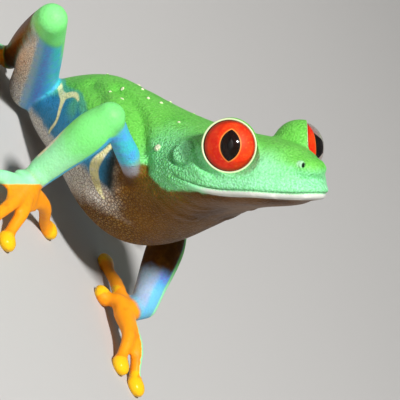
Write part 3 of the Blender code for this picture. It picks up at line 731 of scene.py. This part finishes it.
class Finish:
    """A material and the nodes it is mixed from. Most methods add a node and give its socket. A word
    for a value stands for the mark of that name, kept at every point of the mesh."""

    def __init__(self, name):
        self.material = bpy.data.materials.new(name)
        self.material.use_nodes = True
        self.tree = self.material.node_tree
        self.place = self.add("ShaderNodeTexCoord").outputs["Object"]

    def feed(self, node, inputs):
        """Gives each input its number, its red, green and blue, or the socket or mark that feeds it."""
        for name, value in inputs.items():
            socket = node.inputs[name]
            if isinstance(value, str):
                value = self.add("ShaderNodeAttribute", attribute_name=value).outputs["Fac"]
            if isinstance(value, bpy.types.NodeSocket):
                self.tree.links.new(value, socket)
            else:
                socket.default_value = (*value, 1.0) if socket.type == "RGBA" else value
        return node

    def add(self, kind, inputs=None, **settings):
        """A node with its settings and inputs."""
        node = self.tree.nodes.new(kind)
        for key, value in settings.items():
            setattr(node, key, value)
        return self.feed(node, inputs or {})

    def surface(self, inputs):
        """Feeds the material's shader, and gives the finished material."""
        self.feed(self.tree.nodes["Principled BSDF"], inputs)
        return self.material

    def reckon(self, operation, *values):
        """One sum on numbers or sockets."""
        return self.add("ShaderNodeMath", dict(enumerate(values)), operation=operation).outputs[0]

    def times(self, *values):
        """The product of numbers or sockets."""
        return reduce(lambda one, other: self.reckon("MULTIPLY", one, other), values)

    def stretch(self, value, low, high):
        """0 at low and 1 at high, easing between them."""
        return self.add("ShaderNodeMapRange", {"Value": value, "From Min": low, "From Max": high},
                        interpolation_type="SMOOTHSTEP").outputs[0]

    def noise(self, scale, detail=3.0):
        """Noise on the object's own place, its features one over the scale across."""
        inputs = {"Vector": self.place, "Scale": scale, "Detail": detail}
        return self.add("ShaderNodeTexNoise", inputs).outputs[0]

    def grains(self, scale, feature):
        """Close cells, one over the scale across: the distance from their middles or their edges."""
        inputs = {"Vector": self.place, "Scale": scale}
        return self.add("ShaderNodeTexVoronoi", inputs, feature=feature).outputs[0]

    def mix(self, factor, under, upper, blend="MIX"):
        """The upper colour laid over the under one by the factor."""
        return self.add("ShaderNodeMix", {0: factor, 6: under, 7: upper}, data_type="RGBA",
                        blend_type=blend).outputs[2]


LEAF, LEAF_DEEP, LEAF_LIGHT = (0.155, 0.60, 0.080), (0.10, 0.48, 0.055), (0.24, 0.72, 0.13)
MINT, MINT_PALE, PAINTED_LIP_SHEEN = (0.19, 0.70, 0.25), (0.31, 0.82, 0.42), (0.44, 0.90, 0.66)
LIME, LIME_PALE, DEW = (0.22, 0.84, 0.22), (0.36, 0.90, 0.48), (0.50, 0.78, 0.60)
BLUE, CYAN, INDIGO, VIOLET = (0.10, 0.45, 0.90), (0.06, 0.60, 0.68), (0.06, 0.14, 0.46), (0.18, 0.28, 0.80)
SKY, DEEP, TEAL, SEA = (0.15, 0.50, 0.72), (0.06, 0.32, 0.60), (0.018, 0.22, 0.42), (0.10, 0.46, 0.28)
CREAM, CHALK, GAP, FROST = (0.94, 0.88, 0.45), (0.97, 0.93, 0.84), (0.26, 0.19, 0.14), (0.42, 0.45, 0.58)
# Painted shade: tan, umber and ochre stand for shade over the pale throat, chest and belly, and on the limbs'
# shaded sides.
SHADE_TAN, SHADE_UMBER, SHADE_OCHRE = (0.15, 0.055, 0.001), (0.075, 0.023, 0.001), (0.40, 0.23, 0.05)
ORANGE, RUST, AMBER, LIP = (0.94, 0.32, 0.010), (0.90, 0.20, 0.008), (0.95, 0.52, 0.012), (0.62, 0.64, 0.58)
BEAD, GRAIN_SHADE, CREVICE_SHADE = (0.82, 0.82, 0.58), (0.3, 0.42, 0.3), (0.006, 0.02, 0.012)
ARMPIT_SHADE = (0.012, 0.03, 0.035)  # painted shade: the flank darkens toward the armpit
GRAIN_DEPTH, CELL_HEIGHT, MOTTLE_HEIGHT = 0.00012, 0.0006, 0.00004  # relief, in metres


def skin_finish():
    """Pigment laid in coats over leaf green, each edge broken up by noise, with some coats of painted light
    and shade:
    painted shade on throat, chest, armpit and the limbs' shaded sides and in the mouth's crack and nostrils'
    slits, painted light before the eyes and a painted sheen on the upper lip. Close grains cover it all,
    larger on jaw, belly and under the thighs, where pale tops stand between dark gaps. A damp sheen."""
    finish = Finish("frog_skin")
    mix, stretch, reckon, times = finish.mix, finish.stretch, finish.reckon, finish.times
    broad, mottle, speckle = (finish.noise(scale) for scale in (220.0, 900.0, 3600.0))
    grain, cells = finish.grains(4300.0, "SMOOTH_F1"), finish.grains(2600.0, "DISTANCE_TO_EDGE")

    def ragged(name, amount=0.5, soft=0.12, noise=mottle):
        """1 where a mark is well over a half, with an edge as soft as asked that wanders with the noise."""
        shifted = reckon("MULTIPLY_ADD", reckon("SUBTRACT", noise, 0.5), amount, name)
        return stretch(shifted, 0.5 - soft, 0.5 + soft)

    def two(a, b, noise, low=0.35, high=0.65):
        """Patches of b on a."""
        return mix(stretch(noise, low, high), a, b)

    back = two(two(LEAF_DEEP, LEAF, broad, 0.2, 0.55), LEAF_LIGHT, speckle, 0.48, 0.8)
    mint = two(two(LEAF, MINT, broad, 0.1, 0.4), MINT_PALE, speckle, 0.38, 0.72)
    colour = mix(ragged("mint", 0.35, 0.5), back, mint)
    # painted light: paler mint in front of the eyes and on the eardrums
    colour = mix(times("cheek_painted_light", 0.75), colour, MINT_PALE)
    # painted sheen on the upper lip
    colour = mix(times("lip_painted_sheen", stretch(speckle, 0.2, 0.6), 0.4), colour, PAINTED_LIP_SHEEN)

    granules = mix(stretch(cells, 0.0, 0.09), GAP, two(CHALK, FROST, mottle, 0.55, 0.85))
    flank = mix(ragged("groin", 0.5, 0.45), two(TEAL, DEEP, broad, 0.4, 0.75), SEA)
    # painted shade toward the armpit
    flank = mix("armpit_shade", flank, ARMPIT_SHADE)
    tops = times(stretch(cells, 0.06, 0.24), "coarse", 0.6)
    # painted shade: brown throat, chest and underside, with ochre tops on the coarse cells
    shaded_chest = mix(tops, two(SHADE_UMBER, SHADE_TAN, broad, 0.25, 0.6), SHADE_OCHRE)
    belly = mix(ragged("shaded_chest", 0.5, 0.5), granules, shaded_chest)
    under = mix(ragged("flank", 0.35, 0.22), belly, flank)
    colour = mix(ragged("back", 0.5, 0.2), under, colour)
    colour = mix(stretch("bars", 0.16, -0.12), colour, two(CREAM, CHALK, mottle, 0.5, 0.8))

    limb_blue = two(two(BLUE, CYAN, mottle, 0.3, 0.7), INDIGO, speckle, 0.56, 0.95)
    limb_blue = mix(ragged("violet", 0.5, 0.5), limb_blue, two(VIOLET, BLUE, speckle, 0.45, 0.65))
    hand = mix("pad", two(ORANGE, RUST, mottle, 0.5, 0.9), AMBER)
    hand = mix(ragged("outer", 0.3, 0.3), hand, two(LIME_PALE, MINT_PALE, mottle, 0.3, 0.7))
    for name, amount, soft, noise, coat in (
            ("limb_blue", 0.2, 0.3, mottle, limb_blue), ("frost", 0.35, 0.5, speckle, FROST),
            ("sky", 0.3, 0.45, mottle, SKY), ("pale", 0.5, 0.4, mottle, granules),
            # painted shade: brown on the limbs' shaded sides
            ("brown", 0.4, 0.35, mottle, two(SHADE_UMBER, SHADE_TAN, mottle, 0.45, 0.8)),
            ("limb_green", 0.3, 0.38, mottle, mix(ragged("frosty", 0.5, 0.5), LIME, LIME_PALE)),
            ("edge", 0.3, 0.4, mottle, two(CHALK, CREAM, mottle, 0.3, 0.8)),
            ("orange", 0.25, 0.14, mottle, hand)):
        colour = mix(ragged(name, amount, soft, noise), colour, coat)
    lip = mix("lip_front", MINT_PALE, two(LIP, CHALK, mottle, 0.5, 0.9))
    colour = mix("lip", colour, lip)
    colour = mix(stretch("wart", 1.2, 0.95), colour, BEAD)
    colour = mix(times(stretch("nostril", 0.66, 0.28), 0.75), colour, DEW)

    smooth = reckon("SUBTRACT", 1.0, reckon("MAXIMUM", "orange", "lip"))
    smooth = times(smooth, reckon("MULTIPLY_ADD", "plain", -0.65, 1.0))
    gaps = times(stretch(grain, 0.35, 0.75), smooth, 0.38, reckon("MULTIPLY_ADD", "coarse", -0.7, 1.0))
    colour = mix(gaps, colour, mix(1.0, colour, GRAIN_SHADE, "MULTIPLY"))
    colour = mix(times(stretch(cells, 0.11, 0.02), "jaw", 0.6), colour, LEAF_DEEP)
    # painted shade: a dark line in the mouth's crack and in each nostril's slit
    line = times(stretch("mouth", 0.09, 0.02), 0.6)
    colour = mix(reckon("MAXIMUM", line, stretch("slit", 1.15, 0.75)), colour, CREVICE_SHADE)

    rough = reckon("MULTIPLY_ADD", reckon("SUBTRACT", mottle, 0.5), 0.25, 0.46)
    tall = times(reckon("MINIMUM", cells, 0.3), CELL_HEIGHT, "coarse")
    low = times(grain, -GRAIN_DEPTH, smooth, reckon("MULTIPLY_ADD", "jaw", 2.5, 1.0))
    height = reckon("MULTIPLY_ADD", mottle, MOTTLE_HEIGHT, reckon("ADD", tall, low))
    relief = finish.add("ShaderNodeBump", {"Strength": 1.0, "Distance": 1.0, "Height": height})
    return finish.surface({
        "Base Color": colour, "Roughness": reckon("MULTIPLY_ADD", "pad", -0.22, rough),
        "Normal": relief.outputs[0], "Specular IOR Level": 0.2, "Specular Tint": (1.0, 0.88, 0.65),
        "Subsurface Weight": 0.1, "Subsurface Radius": (0.0006, 0.0006, 0.0003), "Subsurface Scale": 1.0})


skin = piece("skin", points, faces.tolist(), skin_finish(), marks)
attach(skin, "root")
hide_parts(*[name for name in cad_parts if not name.startswith("eye")])

# ------------------------------
# Eyes. Each is a ball under a clear bulging cornea, its iris scarlet with an upright pupil, held by
# a thin cream rim of lid. They are turned and set in separately, as glass eyes are in a model.

BALL_RADIUS = 2.98
IRIS_EDGE = 2.88  # where the dome of the iris meets the ball
IRIS_CURVE, IRIS_TOP = 4.13, 2.0  # the dome's radius, and its height over the eye's centre
PUPIL_HALF_WIDTH, PUPIL_HALF_HEIGHT = 1.13, 1.80
LENS_BULGE = 0.7  # how far the dark lens stands through the pupil
CORNEA_RADIUS, CORNEA_RISE = 3.02, 2.80  # half its width, and its height over the eye's centre
RIM_RADIUS, RIM_AHEAD, RIM_THICK = 3.02, 0.80, 0.115
RIM_BACK, RIM_UP = 0.08, -0.02  # how far the ring sits toward the rear and the top of its eye
BEHIND = 5.0  # added to both marks behind the iris, so that it is all black


def turned_about(side, radius, front, around=160):
    """A profile of radius and height in front of the eye's centre, turned about where the eye looks."""
    centre, aim, top = eye_axes(side)
    a = once_round(around)[None, :, None]
    ring = np.sin(a) * np.cross(top, aim) + np.cos(a) * top
    return centre + front[:, None, None] * aim + radius[:, None, None] * ring


def pupil_distance(side, places):
    """Signed distance outside the pupil, a lens where two circles cross, and the radius off the axis."""
    centre, aim, top = eye_axes(side)
    x, y = (places - centre) @ np.cross(top, aim), (places - centre) @ top
    circle = (PUPIL_HALF_WIDTH ** 2 + PUPIL_HALF_HEIGHT ** 2) / (2 * PUPIL_HALF_WIDTH)
    return np.hypot(np.abs(x) + circle - PUPIL_HALF_WIDTH, y) - circle, np.hypot(x, y)


def iris_finish():
    """Scarlet with fine spokes and clouds, a gold line round the black pupil and a dark outer edge, black at
    the very edge as painted shade under the lid rim.
    """
    finish = Finish("iris")
    mix, stretch = finish.mix, finish.stretch
    colour = mix(stretch(finish.noise(700.0, 4.0), 0.35, 0.65), (0.82, 0.018, 0.002), (0.93, 0.055, 0.005))
    colour = mix(stretch(finish.noise(3800.0, 2.0), 0.52, 0.78), colour, (0.95, 0.13, 0.015))
    colour = mix(stretch("radius", IRIS_EDGE - 0.45, IRIS_EDGE - 0.08), colour, (0.42, 0.02, 0.002))
    colour = mix(stretch("pupil", 0.20, 0.05), colour, (0.95, 0.30, 0.05))
    # painted shade: black at the iris's very edge and beyond it, for the dark gap under the lid rim
    edge = stretch("radius", IRIS_EDGE - 0.05, IRIS_EDGE)
    black = finish.reckon("MAXIMUM", stretch("pupil", 0.03, -0.02), edge)
    colour = mix(black, colour, (0.004, 0.003, 0.003))
    return finish.surface({"Base Color": colour, "Roughness": 0.5, "Specular IOR Level": 0.2})


def cornea_finish():
    """A clear wet shell: what isn't mirrored, more at a glance than face on, passes through."""
    finish = Finish("cornea")
    clear = finish.add("ShaderNodeBsdfTransparent", {"Color": (0.96, 0.93, 0.91)})
    gloss = finish.add("ShaderNodeBsdfGlossy", {"Roughness": 0.09})
    mirrored = finish.times(finish.add("ShaderNodeFresnel", {"IOR": 1.36}).outputs[0], 0.45)
    both = finish.add("ShaderNodeMixShader", {0: mirrored, 1: clear.outputs[0], 2: gloss.outputs[0]})
    finish.feed(finish.tree.nodes["Material Output"], {"Surface": both.outputs[0]})
    return finish.material


def rim_finish():
    """Cream skin, greener where it runs back into the lid."""
    finish = Finish("lid_rim")
    colour = finish.mix(finish.noise(1500.0), (0.72, 0.72, 0.48), (0.52, 0.70, 0.36))
    return finish.surface({"Base Color": colour, "Roughness": 0.35})


dome = np.linspace(0.01, IRIS_EDGE, 70)
dome_front = IRIS_TOP - IRIS_CURVE + np.sqrt(IRIS_CURVE ** 2 - dome ** 2)
b = np.linspace(np.arccos(dome_front[-1] / BALL_RADIUS), np.pi - 0.01, 30)[1:]
ball_profile = np.hstack(((dome, dome_front), (BALL_RADIUS * np.sin(b), BALL_RADIUS * np.cos(b))))
b = np.linspace(0.004, 1.45, 60)
cornea_profile = CORNEA_RADIUS * np.sin(b), CORNEA_RISE * np.cos(b)
b = -once_round(28)
rim_profile = RIM_RADIUS + RIM_THICK * np.cos(b), RIM_AHEAD + RIM_THICK * np.sin(b)
iris, cornea, rim_skin = iris_finish(), cornea_finish(), rim_finish()
for name, eye_side in (("left", 1), ("right", -1)):
    centre, aim, top = eye_axes(eye_side)
    places, around = rings(turned_about(eye_side, *ball_profile))
    pupil, radius = pupil_distance(eye_side, places)
    places = places + (LENS_BULGE * ease(0.0, -1.0, pupil) * (pupil < 0))[:, None] * aim
    behind = BEHIND * ((places - centre) @ aim < dome_front[-1] - 0.02)
    eyeball = piece("eyeball_" + name, places, around, iris,
                    {"pupil": pupil + behind, "radius": radius + behind})
    places, around = rings(turned_about(eye_side, *cornea_profile))
    clear = piece("cornea_" + name, places, around[:-2], cornea)
    ring = turned_about(eye_side, *rim_profile)
    ring += RIM_UP * top - RIM_BACK * unit(FORWARD - (FORWARD @ aim) * aim)
    places, around = rings(np.vstack((ring, ring[:1])))
    lid = piece("lid_rim_" + name, places, around[:-2], rim_skin)
    for part in (eyeball, clear, lid):
        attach(part, "root")
    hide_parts("eye_" + name)

# ------------------------------
# The room: a pale floor that curves up into pale walls, a large soft lamp almost overhead, and the
# camera low beside the frog's right cheek, rolled so that its snout points up and right. In metres.

FLAT_RADIUS, CURVE_RADIUS = 1.0, 0.45
WALL_HEIGHTS = (1.0, 1.6)
flat, b = np.linspace(0.001, FLAT_RADIUS, 24), np.linspace(0.05, np.pi / 2, 20)
out, high = np.hstack(((flat, 0 * flat),
                       (FLAT_RADIUS + CURVE_RADIUS * np.sin(b), CURVE_RADIUS * (1 - np.cos(b))),
                       ((FLAT_RADIUS + CURVE_RADIUS,) * 2, WALL_HEIGHTS)))[..., None]
a = once_round(96)
places, around = rings(np.stack((out * np.cos(a), out * np.sin(a), high + 0 * a), -1))
room = bpy.data.meshes.new("room")
room.from_pydata(places, [], around[:-1])
room.shade_smooth()
backdrop = placed("room", room)
paper = Finish("paper")
shade = paper.mix(paper.noise(3.0), (0.50, 0.49, 0.475), (0.54, 0.53, 0.515))
room.materials.append(paper.surface({"Base Color": shade, "Roughness": 0.9}))


def aimed(data, name, place, toward, up):
    """A camera or lamp at a place, its own -Z toward a point and its Y as near up as it can be."""
    made = placed(name, data)
    back = unit(place - toward)
    right = unit(np.cross(up, back))
    matrix = np.eye(4)
    matrix[:3] = np.stack((right, np.cross(back, right), back, place), 1)
    made.matrix_world = Matrix(matrix.tolist())
    return made


LAMP_SIDE, LAMP_AWAY = unit((-0.422, -0.472, 0.771)), 1.20
LAMP_WIDTH, LAMP_POWER = 0.15, 20.5
eyes = (EYES_AT + to_frame) * MM
lamp_data = bpy.data.lights.new("key", "AREA")
lamp_data.shape, lamp_data.size, lamp_data.energy = "DISK", LAMP_WIDTH, LAMP_POWER
lamp = aimed(lamp_data, "key", eyes + LAMP_AWAY * LAMP_SIDE, eyes, (0, 1, 0))

world = bpy.data.worlds.new("air")
bpy.context.scene.world = world
world.use_nodes = True
air = world.node_tree.nodes["Background"].inputs
air["Color"].default_value = (1.0, 0.98, 0.95, 1.0)
air["Strength"].default_value = 0.08

CAMERA_FROM = (-0.22052, -0.26291, 0.09818)
CAMERA_BACK, CAMERA_UP = (-0.6302, -0.7431, 0.2250), (-0.6051, 0.6517, 0.4575)
optics = bpy.data.cameras.new("camera")
optics.lens, optics.sensor_width = 275.94, 36.0
optics.clip_start, optics.clip_end = 0.01, 10.0
stand = CAMERA_FROM + to_frame * MM
camera = aimed(optics, "camera", stand, stand - CAMERA_BACK, CAMERA_UP)
bpy.context.scene.camera = camera
bpy.context.scene.view_settings.view_transform = "Standard"

bpy.context.view_layer.update()
